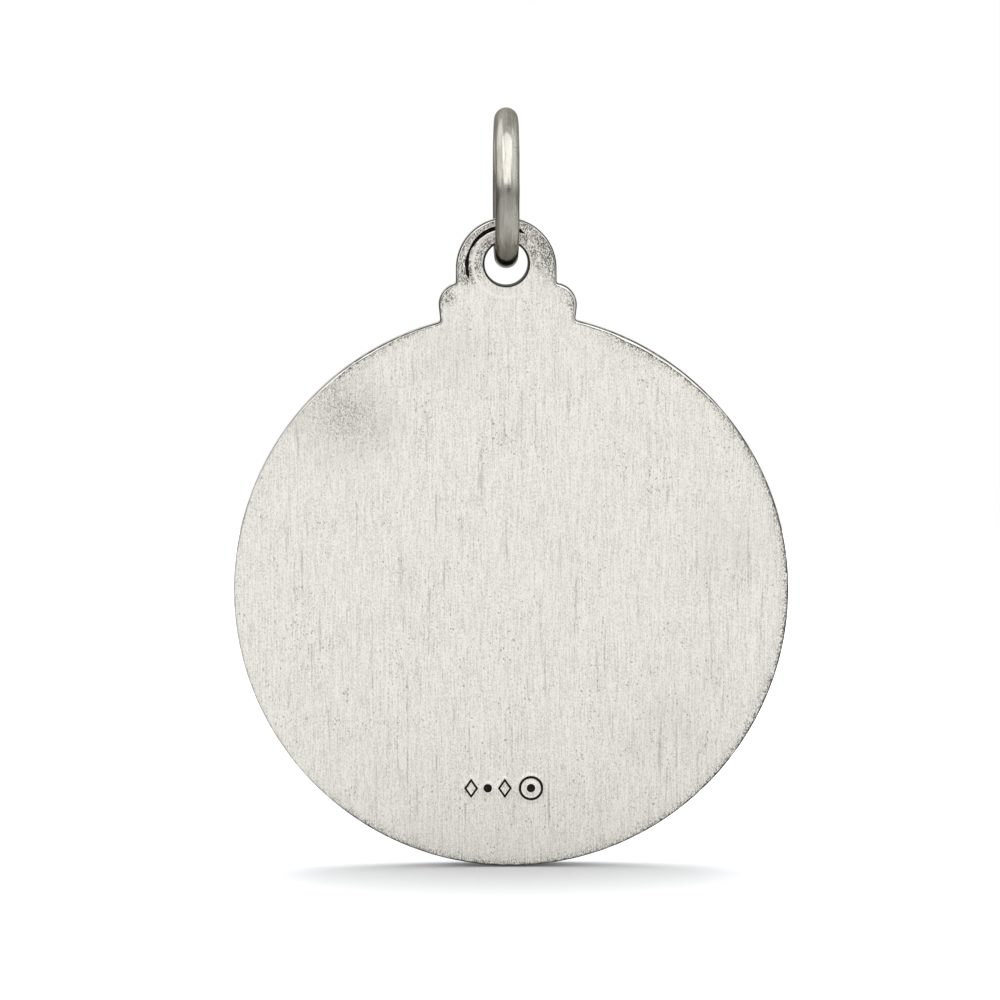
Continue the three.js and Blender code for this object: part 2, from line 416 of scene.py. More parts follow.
def crown(outer, inner, height, roundness, steps=6):
    """A low ridge's profile: rooted in the plate, with rounded shoulders."""
    middle, half = (outer + inner) / 2, (outer - inner) / 2
    profile = [(inner, FRONT - ROOT), (outer, FRONT - ROOT), (outer, FRONT)]
    for i in range(1, 2 * steps):
        share = 1 - i / steps
        rise = (1 - abs(share) ** roundness) ** (1 / roundness)
        profile.append((middle + half * share, FRONT + height * rise))
    profile.append((inner, FRONT))
    return profile


def drawn_out(name, loops):
    """A closed body through loops of (x, z) points, each at its level, with flat ends."""
    n = len(loops[0][0])
    points = [(x, level, z) for loop, level in loops for x, z in loop]
    faces = []
    for r in range(len(loops) - 1):
        faces += strip(r * n, (r + 1) * n, n)
    faces.append(tuple(range(n)))
    faces.append(tuple(range((len(loops) - 1) * n, len(loops) * n)))
    piece = make_mesh(name, points, faces, smooth=False)
    outward(piece)
    return piece


def cross_loop(shrink):
    """Corners of the Latin cross, each side moved in by a distance."""
    half = CROSS_BAR / 2 - shrink
    top = CROSS_HEIGHT / 2 - shrink
    arm = CROSS_SPAN / 2 - shrink
    crossing = CROSS_HEIGHT / 2 - CROSS_BAR_DROP
    right = [
        (half, top), (half, crossing + half), (arm, crossing + half),
        (arm, crossing - half), (half, crossing - half), (half, -top),
    ]
    return right + [(-x, z) for x, z in reversed(right)]


def cross():
    """The cross: bevelled sides, a narrow raised rim and a top that is sunk a little inside it."""
    slope, rim = CROSS_SLOPE, CROSS_SLOPE + CROSS_RIM
    top = FRONT + CROSS_RELIEF
    loops = [
        (cross_loop(0), FRONT - ROOT), (cross_loop(0), FRONT + 0.06), (cross_loop(0.03), FRONT + 0.1),
        (cross_loop(slope), top - 0.02), (cross_loop(slope + 0.03), top), (cross_loop(rim), top),
        (cross_loop(rim + 0.04), top - CROSS_SUNK),
    ]
    return drawn_out("cross", loops)


def ray(name, angle, share):
    """A long low ridge that leaves the crossing at an angle in degrees and narrows to a point."""
    across = math.radians(angle)
    out_x, out_z = math.cos(across), math.sin(across)
    crossing = CROSS_HEIGHT / 2 - CROSS_BAR_DROP
    reach = DISC_RADIUS - BORDER_SETBACK - BORDER_WIDTH - LINE_GAP - LINE_WIDTH - RAY_GAP
    along = crossing * out_z
    length = share * (math.sqrt(along ** 2 + reach ** 2 - crossing ** 2) - along)
    half = RAY_WIDTH / 2
    flank, shoulder = half * 0.35, RAY_RELIEF * 0.78
    base = [
        (-half, 0.0), (-flank, shoulder), (0.0, RAY_RELIEF), (flank, shoulder),
        (half, 0.0), (half, -ROOT / 2), (-half, -ROOT / 2),
    ]
    points = [(side * -out_z, FRONT + rise, crossing + side * out_x) for side, rise in base]
    points.append((length * out_x, FRONT - 0.01, crossing + length * out_z))
    n = len(base)
    faces = [(i, (i + 1) % n, n) for i in range(n)] + [tuple(reversed(range(n)))]
    piece = make_mesh(name, points, faces, smooth=False)
    outward(piece)
    return piece


def rays():
    """Long and short rays in turn, in the four quarters between the arms."""
    step = 90 / (RAYS_PER_QUARTER + 1)
    pieces = []
    for quarter in range(4):
        for i in range(1, RAYS_PER_QUARTER + 1):
            share = RAY_SHORT if i % 2 == 1 else 1.0
            pieces.append(ray(f"ray_{quarter}_{i}", quarter * 90 + i * step, share))
    return pieces


def scaled(loop, centre, factor):
    """A loop scaled about a centre."""
    return [(centre[0] + (x - centre[0]) * factor, centre[1] + (z - centre[1]) * factor) for x, z in loop]


def groove_line(steps=60):
    """The groove's middle line and width: a list of (x, z, half width, outward x, outward z)."""
    shares, radii, widths = zip(*GROOVE)
    places = []
    for i in range(steps + 1):
        share = i / steps
        angle = math.radians(GROOVE_START + (GROOVE_END - GROOVE_START) * share)
        radius = np.interp(share, shares, radii)
        half = np.interp(share, shares, widths) / 2
        half *= 1 + 0.3 * noise.noise(Vector((share * 14.0, 0.3, 0.0)))
        out_x, out_z = math.cos(angle), math.sin(angle)
        places.append((EAR_X + radius * out_x, HOLE_Z + radius * out_z, half, out_x, out_z))
    return places


def groove_cutter():
    """The crescent in the ear's back, with sloping walls."""
    places = groove_line()

    def loop(grow):
        outer = [(x + half * grow * ox, z + half * grow * oz) for x, z, half, ox, oz in places]
        inner = [(x - half * grow * ox, z - half * grow * oz) for x, z, half, ox, oz in places]
        return outer + inner[::-1]

    loops = [(loop(1.3), BACK - ROOT), (loop(1.15), BACK - 0.01), (loop(0.95), BACK + 0.03),
             (loop(0.4), BACK + GROOVE_DEPTH)]
    return drawn_out("groove_cutter", loops)


def punch_loops(outer, centre, slope):
    """A solid punch as loops: sides that slope in by a share of its width, down to a flat floor."""
    return [
        (outer, BACK - ROOT), (outer, BACK - 0.005),
        (scaled(outer, centre, 1.0 - slope), BACK + PUNCH_DEPTH),
    ]


def tube_ring(name, outer, inner):
    """A band between two loops, cut into the back, whose walls slope together."""
    n = len(outer)
    mid = 0.25
    loops = [
        (outer, BACK - ROOT), (outer, BACK - 0.004), (lerp(outer, inner, mid), BACK + PUNCH_DEPTH),
        (lerp(outer, inner, 1 - mid), BACK + PUNCH_DEPTH), (inner, BACK - 0.004), (inner, BACK - ROOT),
    ]
    points = [(x, level, z) for loop, level in loops for x, z in loop]
    faces = []
    for r in range(len(loops)):
        faces += strip(r * n, ((r + 1) % len(loops)) * n, n)
    piece = make_mesh(name, points, faces, smooth=False)
    outward(piece)
    return piece


def lerp(first, second, share):
    """A loop part of the way from one loop to another."""
    return [(a[0] + (b[0] - a[0]) * share, a[1] + (b[1] - a[1]) * share) for a, b in zip(first, second)]


def lozenge(x, half_width, half_height):
    """A lozenge's outline, eight points."""
    corners = [(x, half_height), (x + half_width, 0), (x, -half_height), (x - half_width, 0)]
    loop = []
    for a, b in zip(corners, corners[1:] + corners[:1]):
        loop += [a, ((a[0] + b[0]) / 2, (a[1] + b[1]) / 2)]
    return [(px, pz - PUNCH_DROP) for px, pz in loop]


def dot_loop(x):
    """A dot's outline."""
    return arc(x, -PUNCH_DROP, DOT_DIAMETER / 2, 0, 360, 0.04)[:-1]


def eyelet_loop():
    """The eyelet's outer outline."""
    radius = EYELET_DIAMETER / 2
    return arc(EYELET_X, -PUNCH_DROP, radius, 0, 360, 2 * math.pi * radius / 48)[:-1]


def punch_outlines():
    """Closely spaced points along the outlines of all the punches."""
    loops = [lozenge(x, LOZENGE_WIDTH / 2, PUNCH_HEIGHT / 2) for x in LOZENGES_X]
    loops += [dot_loop(DOT_X), dot_loop(EYELET_X), eyelet_loop()]
    return [
        [point for a, b in zip(loop, loop[1:] + loop[:1]) for point in [a, *straight(a, b, 0.03)]]
        for loop in loops
    ]


def punch_cutters():
    """Two lozenges with a dot between them, and an eyelet, struck in a row low on the back."""
    cutters = []
    half_width, half_height = LOZENGE_WIDTH / 2, PUNCH_HEIGHT / 2
    inner = 1 - PUNCH_STROKE / half_width
    for i, x in enumerate(LOZENGES_X):
        outer_loop = lozenge(x, half_width, half_height)
        inner_loop = lozenge(x, half_width * inner, half_height * inner)
        cutters.append(tube_ring(f"lozenge_cutter_{i}", outer_loop, inner_loop))
    for i, x in enumerate((DOT_X, EYELET_X)):
        loops = punch_loops(dot_loop(x), (x, -PUNCH_DROP), DOT_SLOPE)
        cutters.append(drawn_out(f"dot_cutter_{i}", loops))
    rim = eyelet_loop()
    inner_rim = scaled(rim, (EYELET_X, -PUNCH_DROP), 1 - 2 * PUNCH_STROKE / EYELET_DIAMETER)
    cutters.append(tube_ring("eyelet_cutter", rim, inner_rim))
    return cutters


def boolean(piece, tool, operation):
    """Joins a tool to a piece or cuts the piece with it, and deletes the tool."""
    modifier = piece.modifiers.new("fit", "BOOLEAN")
    modifier.operation = operation
    modifier.solver = "MANIFOLD"
    modifier.object = tool
    modifier.material_mode = "TRANSFER"
    bpy.context.view_layer.objects.active = piece
    bpy.ops.object.modifier_apply(modifier=modifier.name)
    mesh = tool.data
    bpy.data.objects.remove(tool)
    bpy.data.meshes.remove(mesh)


class Nodes:
    """Short names for building a material's nodes."""

    def __init__(self, name):
        self.material = bpy.data.materials.new(name)
        self.material.use_nodes = True
        self.tree = self.material.node_tree
        self.shader = self.tree.nodes["Principled BSDF"]

    def add(self, kind, settings=None, **inputs):
        """A node with its settings, and its inputs by name, with _ for a space."""
        node = self.tree.nodes.new(kind)
        for key, value in (settings or {}).items():
            setattr(node, key, value)
        for key, value in inputs.items():
            self.feed(node.inputs[key.replace("_", " ")], value)
        return node

    def feed(self, socket, value):
        """Links a socket to another one, or sets it to a number or colour."""
        if isinstance(value, bpy.types.NodeSocket):
            self.tree.links.new(value, socket)
        else:
            socket.default_value = value

    def math(self, operation, first, second=0.0, clamp=False):
        """One step of arithmetic on numbers or sockets."""
        node = self.tree.nodes.new("ShaderNodeMath")
        node.operation = operation
        node.use_clamp = clamp
        self.feed(node.inputs[0], first)
        self.feed(node.inputs[1], second)
        return node.outputs[0]

    def times(self, first, second):
        return self.math("MULTIPLY", first, second)

    def plus(self, first, second, clamp=False):
        return self.math("ADD", first, second, clamp)

    def place(self, scale):
        """The surface point in millimetres, times a scale along each axis."""
        if not hasattr(self, "coordinates"):
            self.coordinates = self.tree.nodes.new("ShaderNodeTexCoord").outputs["Object"]
        node = self.tree.nodes.new("ShaderNodeVectorMath")
        node.operation = "MULTIPLY"
        self.feed(node.inputs[0], self.coordinates)
        node.inputs[1].default_value = [1000.0 * s for s in scale]
        return node.outputs[0]

    def grain(self, scale, detail=2.0, roughness=0.5):
        """Noise from 0 to 1 with so many features to the millimetre along each axis."""
        node = self.add("ShaderNodeTexNoise", Vector=self.place(scale), Scale=1.0, Detail=detail,
                        Roughness=roughness)
        return node.outputs["Fac"]

    def cells(self, scale):
        """Irregular cells, so many to the millimetre along each axis, each with a value from 0 to 1."""
        node = self.add("ShaderNodeTexVoronoi", Vector=self.place(scale), Scale=1.0)
        return self.add("ShaderNodeSeparateColor", Color=node.outputs["Color"]).outputs["Red"]

    def ramp(self, value, low, high, to_low=0.0, to_high=1.0):
        """A value spread from one range to another, with smooth ends."""
        node = self.add("ShaderNodeMapRange", {"interpolation_type": "SMOOTHSTEP"}, Value=value,
                        From_Min=low, From_Max=high, To_Min=to_low, To_Max=to_high)
        return node.outputs["Result"]

    def mix(self, share, first, second):
        """The first colour turned into the second by a share."""
        node = self.tree.nodes.new("ShaderNodeMix")
        node.data_type = "RGBA"
        self.feed(node.inputs["Factor"], share)
        self.feed(node.inputs["A"], first)
        self.feed(node.inputs["B"], second)
        return next(o for o in node.outputs if o.type == "RGBA")

    def near(self, centre, radius):
        """From 1 at a point of the back, given in millimetres from the disc's centre, to 0 at a radius."""
        return self.ramp(self.apart(centre), radius, 0.0)

    def apart(self, centre):
        """Distance in millimetres from a point of the back, given from the disc's centre."""
        node = self.tree.nodes.new("ShaderNodeVectorMath")
        node.operation = "DISTANCE"
        self.feed(node.inputs[0], self.place((1, 0, 1)))
        node.inputs[1].default_value = (
            centre[0] + DISC_CENTRE.x / MM, 0.0, centre[1] + DISC_CENTRE.z / MM)
        return node.outputs["Value"]

    def part(self, axis):
        """The surface point's X, Y or Z in millimetres."""
        return self.add("ShaderNodeSeparateXYZ", Vector=self.place((1, 1, 1))).outputs[axis]

    def bump(self, height, distance, strength, normal=None):
        """A normal that follows a height, given how many millimetres 1 stands for."""
        node = self.add("ShaderNodeBump", Height=height, Strength=strength, Distance=distance * MM)
        if normal is not None:
            self.feed(node.inputs["Normal"], normal)
        return node.outputs["Normal"]

    def finish(self, colour, roughness, normal):
        """A metal with these sockets."""
        self.feed(self.shader.inputs["Base Color"], colour)
        self.feed(self.shader.inputs["Roughness"], roughness)
        self.feed(self.shader.inputs["Normal"], normal)
        self.shader.inputs["Metallic"].default_value = 1.0
        return self.material


# Colours of bright and dull silver, of its tarnish and black oxide, both also used for painted shade, and
# of the ring's wire, whose line colour also paints shade on its lower half
SILVER = (0.97, 0.947, 0.897, 1.0)
SILVER_DULL = (0.60, 0.585, 0.55, 1.0)
SILVER_WORN = (0.82, 0.80, 0.755, 1.0)
SILVER_RUBBED = (0.95, 0.927, 0.877, 1.0)
TARNISH_AND_SHADE = (0.10, 0.093, 0.082, 1.0)
BLACKENED_AND_SHADE = (0.022, 0.02, 0.018, 1.0)
WIRE_LIGHT = (0.64, 0.617, 0.566, 1.0)
WIRE_DARK = (0.47, 0.449, 0.40, 1.0)
WIRE_LINE_AND_SHADE = (0.30, 0.284, 0.248, 1.0)
WIRE_GRAZED = (0.62, 0.60, 0.55, 1.0)


def reach(n, name):
    """How far the surface is from one of the medal's edges, from 0 to 1, as the mesh tells it."""
    return n.add("ShaderNodeAttribute", {"attribute_name": name}).outputs["Fac"]


# Where dark antiquing stayed on the back: X and Z in millimetres from the disc's centre, radius, strength
SOOT = [
    (-0.9, 13.5, 1.7, 0.56), (1.45, 13.6, 1.3, 0.85), (1.75, 12.7, 1.2, 0.35), (-1.75, 12.6, 0.8, 0.85),
    (0.3, 14.3, 0.9, 0.6), (2.5, 11.5, 0.7, 0.55), (-2.5, 11.6, 0.6, 0.5), (4.2, 9.9, 1.6, 0.14),
    (-6.5, 6.9, 3.0, 0.28), (5.6, 9.1, 1.5, 0.08),
]
# Patches where the surface is greyer: X and Z in millimetres from the disc's centre, radius, strength
CLOUDS = [(-6.5, 6.8, 3.6, 0.46), (-2.4, 9.2, 2.4, 0.35), (6.8, -5.2, 4.6, 0.3), (8.5, 1.5, 3.0, 0.3)]
# The rim's dark marks, and the painted shade along its outer corner, are lighter on the left; the dark
# marks are lighter at the foot too: X and Z, each from and to, in millimetres
LEFT_SIDE = (-7.6, -5.4)
FOOT = (DISC_TOP - 2 * DISC_RADIUS + 0.8, DISC_TOP - 2 * DISC_RADIUS + 3.2)
# The bright burr inside the crescent groove, cleaner metal with a painted highlight on it: its radius from
# the hole's centre, and X from and to
BURR_RADIUS = 1.33
BURR_END = (0.7, 0.1)


def spread(n, places):
    """A field from 0 to 1 that is strongest at the listed places."""
    total = None
    for x, z, radius, strength in places:
        one = n.times(n.near((x, z), radius), strength)
        total = one if total is None else n.plus(total, one, clamp=True)
    return total


def brushed_back():
    """Satin silver brushed up and down, darkened round the ear and in a patch at the upper left."""
    n = Nodes("silver_brushed_back")
    grit = n.cells((40, 1, 25))
    stroke = n.cells((38, 1, 1.5))
    broad = n.grain((26, 1, 0.45), 2.0)
    streaks = n.plus(n.times(grit, 0.56), n.times(stroke, 0.34))
    streaks = n.plus(streaks, n.times(broad, 0.10))
    colour = n.mix(n.ramp(streaks, 0.0, 0.75), SILVER_DULL, SILVER)
    # A greyer bloom in patches
    patchy = n.ramp(n.grain((0.9, 1, 0.6), 3.0, 0.6), 0.35, 0.65, 0.4, 1.0)
    bloom = n.times(spread(n, CLOUDS), patchy)
    colour = n.mix(n.times(bloom, 0.8), colour, SILVER_DULL)
    # Thin dark scratches and clusters of dark specks along the strokes
    scratch = n.ramp(n.cells((13, 1, 0.55)), 0.90, 0.99)
    scratch = n.times(scratch, n.ramp(n.grain((24, 1, 2.2), 1.0), 0.42, 0.58))
    specks = n.ramp(n.cells((19, 1, 14)), 0.965, 0.985)
    specks = n.times(specks, n.ramp(n.grain((0.9, 1, 0.7), 2.0), 0.42, 0.62, 0.1, 1.0))
    flaws = n.plus(n.times(scratch, 0.28), n.times(specks, 0.5), clamp=True)
    colour = n.mix(flaws, colour, TARNISH_AND_SHADE)
    # Granular dark antiquing round the ear, on the shoulders and along the rim
    lip = reach(n, "lip")
    rim = n.times(n.ramp(lip, 0.9, 0.0), n.ramp(n.part("X"), *LEFT_SIDE, 0.2, 1.0))
    band = n.ramp(n.apart((0.0, 0.0)), DISC_RADIUS - 0.75, DISC_RADIUS - 0.02, 0.0, 0.26)
    band = n.times(band, n.ramp(n.part("X"), *LEFT_SIDE, 0.3, 1.0))
    band = n.times(band, n.ramp(n.part("Z"), DISC_TOP - 0.3, DISC_TOP - 1.5))
    foot = n.ramp(n.part("Z"), *FOOT, 0.45, 1.0)
    rim = n.times(rim, foot)
    soot = n.plus(spread(n, SOOT), n.times(rim, 0.30))
    soot = n.plus(soot, band)
    from_burr = n.math("ABSOLUTE", n.math("SUBTRACT", n.apart((EAR_X, HOLE_Z)), BURR_RADIUS))
    burr = n.times(n.ramp(from_burr, 0.10, 0.03), n.ramp(n.part("X"), *BURR_END))
    granules = n.plus(n.times(n.grain((22, 1, 13), 2.0, 0.6), 0.38),
                      n.times(n.cells((38, 1, 23)), 0.62))
    soot = n.times(soot, n.math("SUBTRACT", 1.0, n.times(burr, 0.7)))
    dark = n.ramp(n.plus(granules, n.times(soot, 0.24)), 0.57, 0.82)
    dark = n.times(dark, n.ramp(soot, 0.0, 0.45, 0.0, 0.92))
    colour = n.mix(dark, colour, TARNISH_AND_SHADE)
    # Painted highlight: the burr painted bright silver where it catches the light
    colour = n.mix(n.times(burr, 0.6), colour, SILVER)
    # A broken dark line just inside the bevel, and an even one round the hole, which is painted shade where
    # the hole's lip turns in
    reaching = n.plus(lip, n.times(n.near((5.6, 8.4), 4.2), -0.14))
    broken = n.ramp(n.grain((3.4, 1, 3.4), 3.0, 0.6), 0.36, 0.54)
    line = n.times(n.ramp(reaching, 0.30, 0.06), broken)
    line = n.times(line, n.ramp(n.part("X"), *LEFT_SIDE, 0.35, 1.0))
    line = n.times(line, foot)
    colour = n.mix(n.times(line, 0.82), colour, BLACKENED_AND_SHADE)
    # Painted shade: the hole's rounded lip painted nearly black
    painted_hole_shade = n.ramp(reach(n, "eye"), 0.58, 0.44)
    colour = n.mix(n.times(painted_hole_shade, 0.98), colour, BLACKENED_AND_SHADE)
    roughness = n.ramp(streaks, 0.2, 0.8, 0.54, 0.46)
    relief = n.bump(streaks, 0.004, 0.5)
    relief = n.bump(n.math("MAXIMUM", flaws, dark), -0.012, 0.5, relief)
    return n.finish(colour, roughness, relief)


def filed_edge():
    """The outer wall and the bevels: filed bright, with painted shade as a dark line along the outermost
    corner and inside the hole.
    """
    n = Nodes("silver_filed_edge")
    marks = n.plus(n.times(n.grain((1.1, 30, 1.1), 2.0, 0.6), 0.65),
                   n.times(n.grain((7, 9, 7), 3.0, 0.65), 0.35))
    colour = n.mix(n.ramp(marks, 0.3, 0.6), SILVER_DULL, SILVER)
    # Painted shade: a broken dark line along the outermost corner, lighter on the left
    corner = n.times(n.ramp(reach(n, "edge"), 0.32, 0.17), n.ramp(reach(n, "wall"), 0.30, 0.10))
    corner = n.times(corner, n.ramp(n.grain((2.2, 2.2, 2.2), 3.0, 0.6), 0.3, 0.5, 0.55, 0.95))
    corner = n.times(corner, n.ramp(n.part("X"), *LEFT_SIDE, 0.4, 1.0))
    dark = n.ramp(n.grain((2.6, 9, 2.6), 3.0, 0.6), 0.60, 0.76, 0.0, 0.55)
    # Painted shade: the hole's wall painted nearly black
    painted_hole_wall_shade = n.ramp(reach(n, "eye"), 0.3, 0.1, 0.0, 0.96)
    colour = n.mix(dark, colour, TARNISH_AND_SHADE)
    colour = n.mix(n.math("MAXIMUM", corner, painted_hole_wall_shade), colour, BLACKENED_AND_SHADE)
    roughness = n.ramp(marks, 0.3, 0.7, 0.30, 0.44)
    return n.finish(colour, roughness, n.bump(marks, 0.008, 0.5))


def antiqued_front():
    """The front: softly polished on the raised work, and darkened in the recesses."""
    n = Nodes("silver_antiqued_front")
    hollow = n.add("ShaderNodeAmbientOcclusion", {"samples": 8}, Distance=0.6 * MM).outputs["AO"]
    grain = n.grain((9, 9, 9), 4.0, 0.6)
    cloud = n.grain((0.8, 0.8, 0.8), 4.0, 0.6)
    level = n.part("Y")
    low = n.ramp(level, FRONT + 0.06, FRONT + 0.004)
    shelter = n.times(n.ramp(hollow, 0.98, 0.66), 1.1)
    field = n.times(low, n.ramp(cloud, 0.25, 0.75, 0.26, 0.40))
    dark = n.plus(shelter, field, clamp=True)
    dark = n.times(dark, n.ramp(grain, 0.3, 0.6, 0.66, 1.0))
    worn = n.mix(n.ramp(grain, 0.3, 0.65), SILVER_WORN, SILVER_RUBBED)
    colour = n.mix(dark, worn, BLACKENED_AND_SHADE)
    roughness = n.ramp(n.plus(dark, n.times(grain, 0.3)), 0.1, 1.0, 0.27, 0.6)
    return n.finish(colour, roughness, n.bump(grain, 0.012, 0.45))


def blackened_cut():
    """The walls and floor of the struck and cut places: oxidised nearly black."""
    n = Nodes("silver_blackened_cut")
    grain = n.grain((16, 16, 16), 3.0)
    colour = n.mix(n.ramp(grain, 0.45, 0.75), BLACKENED_AND_SHADE, TARNISH_AND_SHADE)
    return n.finish(colour, n.ramp(grain, 0.3, 0.7, 0.5, 0.75), n.bump(grain, 0.01, 0.6))


def polished_wire(seam):
    """The jump ring: polished wire with draw lines and pits, a dark speck at the solder seam, and painted
    shade and dark reflection on its sides and lower half.
    """
    n = Nodes("silver_polished_wire")
    cloud = n.grain((1.2, 1.2, 0.8), 3.0)
    fine = n.grain((14, 14, 10), 2.0, 0.6)
    colour = n.mix(n.ramp(cloud, 0.35, 0.7), WIRE_LIGHT, WIRE_DARK)
    lines = n.ramp(n.grain((10, 0.7, 0.7), 2.0, 0.6), 0.50, 0.64, 0.0, 0.55)
    colour = n.mix(lines, colour, WIRE_LINE_AND_SHADE)
    # Painted shade and dark reflection on the wire's sides, more on the left and towards the lower half;
    # the lower half painted a little darker; and a painted shadow at the foot, where the ring passes
    # through the ear's hole
    middle, foot = (RING_LOW[2] + RING_HIGH[2]) / 2 / MM, RING_LOW[2] / MM
    flank = n.math("MAXIMUM", n.ramp(n.part("X"), -0.25, -0.38), n.ramp(n.part("X"), 0.36, 0.47, 0.0, 0.6))
    flank = n.times(flank, n.ramp(n.part("Z"), middle + 0.9, middle - 0.7, 0.15, 1.0))
    colour = n.mix(n.times(flank, 0.95), colour, TARNISH_AND_SHADE)
    # Painted shade: the lower half of the ring darker
    colour = n.mix(n.ramp(n.part("Z"), middle + 0.4, middle - 0.6, 0.0, 0.42), colour, WIRE_LINE_AND_SHADE)
    # Painted shadow at the ring's foot, inside the ear's hole
    colour = n.mix(n.ramp(n.part("Z"), foot + 1.3, foot + 0.05, 0.0, 0.9), colour, TARNISH_AND_SHADE)
    pits = n.ramp(n.grain((11, 11, 9), 2.0, 0.6), 0.60, 0.72)
    side = n.ramp(n.part("X"), 0.10, 0.42, 0.06, 1.0)
    pits = n.times(pits, side)
    colour = n.mix(n.times(pits, 0.8), colour, TARNISH_AND_SHADE)
    away = n.tree.nodes.new("ShaderNodeVectorMath")
    away.operation = "DISTANCE"
    n.feed(away.inputs[0], n.place((1, 1, 1)))
    away.inputs[1].default_value = [c / MM for c in seam]
    smudge = n.times(n.ramp(away.outputs["Value"], 0.17, 0.05), n.ramp(fine, 0.3, 0.6, 0.5, 1.0))
    colour = n.mix(n.times(smudge, 0.9), colour, TARNISH_AND_SHADE)
    roughness = n.plus(n.ramp(fine, 0.3, 0.75, 0.12, 0.22), n.times(smudge, 0.3))
    relief = n.bump(fine, 0.003, 0.5)
    n.shader.inputs["Specular Tint"].default_value = WIRE_GRAZED
    return n.finish(colour, roughness, n.bump(pits, -0.008, 0.6, relief))


def nearest_to(outline, points, batch=2000):
    """For each point, its distance to an outline's nearest point, and that point's number."""
    apart, number = [], []
    for start in range(0, len(points), batch):
        distances = np.linalg.norm(points[start:start + batch, None] - outline[None], axis=2)
        apart.append(distances.min(axis=1))
        number.append(distances.argmin(axis=1))
    return np.concatenate(apart), np.concatenate(number)


def mark_distances(mesh, outline, bevel):
    """Stores each vertex's distance from the outline, bevel, hole and wall, from 0 to 1."""
    places = np.array([((v.co - DISC_CENTRE) / MM)[:] for v in mesh.vertices])
    local = places[:, [0, 2]]
    apart, number = nearest_to(outline, local)
    from_hole = np.linalg.norm(local - [EAR_X, HOLE_Z], axis=1) - HOLE_RADIUS
    for name, values in [
        ("edge", apart / LIP_REACH),
        ("lip", (apart - bevel[number]) / LIP_REACH),
        ("eye", from_hole / HOLE_REACH),
        ("wall", (places[:, 1] - BACK - BEVEL_FALL * bevel[number]) / LIP_REACH),
    ]:
        mesh.attributes.new(name, "FLOAT", "POINT").data.foreach_set("value", np.clip(values, 0, 1))


SHARP_ANGLE = 32.0


def medal():
    """The whole medal as one closed mesh, with a material for each kind of surface."""
    piece, outline, bevel = plate()
    piece.name = "medal_fine"
    back, edge, front, cut = materials = [brushed_back(), filed_edge(), antiqued_front(), blackened_cut()]
    for material in materials:
        piece.data.materials.append(material)
    border_outer = DISC_RADIUS - BORDER_SETBACK
    line_outer = border_outer - BORDER_WIDTH - LINE_GAP
    raised = [
        turned("border", crown(border_outer, border_outer - BORDER_WIDTH, BORDER_HEIGHT, 3.0, 12), 360),
        turned("line", crown(line_outer, line_outer - LINE_WIDTH, LINE_HEIGHT, 2.2, 6), 360),
        cross(),
        *rays(),
    ]
    for tool in raised:
        tool.data.materials.append(front)
        boolean(piece, tool, "UNION")
    for tool in [groove_cutter(), *punch_cutters()]:
        tool.data.materials.append(cut)
        boolean(piece, tool, "DIFFERENCE")
    mesh = piece.data
    mark_distances(mesh, outline, bevel)
    slots = {material.name: i for i, material in enumerate(mesh.materials)}
    line_inner = line_outer - LINE_WIDTH
    mesh.set_sharp_from_angle(angle=math.radians(SHARP_ANGLE))
    for polygon in mesh.polygons:
        if mesh.materials[polygon.material_index] == cut:
            polygon.use_smooth = False
            continue
        way = polygon.normal.y
        middle = (polygon.center - DISC_CENTRE) / MM
        from_centre = math.hypot(middle.x, middle.z)
        if way < -0.6 and middle.y < BACK + 0.003:
            polygon.material_index = slots[back.name]
        elif way > 0.75 or middle.y > FRONT + 0.001:
            polygon.material_index = slots[front.name]
        else:
            polygon.material_index = slots[edge.name]
        flat = abs(way) > 0.99999
        crisp = middle.y > FRONT + 0.001 and from_centre < line_inner - 0.01
        polygon.use_smooth = not flat and not crisp
    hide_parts("medal")
    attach(piece, "drop")
    return piece


WIRE_WEAR = 0.024


def jump_ring(around=220, across=40):
    """The closed ring of round wire, a little uneven along its length, as a soldered ring is."""
    wire = (RING_HIGH[0] - RING_LOW[0]) / 2
    middle = (RING_HIGH[2] - RING_LOW[2]) / 2 - wire
    centre = Vector((0.0, 0.0, (RING_HIGH[2] + RING_LOW[2]) / 2))
    points, faces = [], []
    for i in range(around):
        a = 2 * math.pi * i / around
        out = Vector((0.0, math.sin(a), -math.cos(a)))
        for k in range(across):
            b = 2 * math.pi * k / across
            wave = noise.noise(Vector((math.cos(a) * 2.2, math.sin(a) * 2.2, math.cos(b) * 0.8)))
            radius = wire * (1 - WIRE_WEAR * abs(wave))
            point = centre + out * (middle + radius * math.cos(b)) + Vector((radius * math.sin(b), 0, 0))
            points.append(point[:])
            j, m = (i + 1) % around, (k + 1) % across
            faces.append((i * across + k, i * across + m, j * across + m, j * across + k))
    mesh = bpy.data.meshes.new("jump_ring_fine")
    mesh.from_pydata(points, [], faces)
    mesh.polygons.foreach_set("use_smooth", [True] * len(mesh.polygons))
    piece = bpy.data.objects.new("jump_ring_fine", mesh)
    bpy.context.collection.objects.link(piece)
    outward(piece)
    mesh.materials.append(polished_wire(centre + Vector((0.02 * MM, RING_LOW[1], 0.0))))
    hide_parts("jump_ring")
    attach(piece, "ring")
    return piece


# The photograph's frame: its width in millimetres at the medal, its centre, and its viewing angle
FRAME_WIDTH = 39.70
FRAME_CENTRE = Vector((-0.24, 0.0, -14.60)) * MM
VIEW_UP = 4.5
VIEW_RIGHT = -1.2
LENS = 200.0
SENSOR = 36.0


def direction(turn, rise):
    """A unit vector from the medal towards a place at a turn to the right and a rise, in degrees."""
    a, e = math.radians(turn), math.radians(rise)
    return Vector((math.sin(a) * math.cos(e), -math.cos(a) * math.cos(e), math.sin(e)))


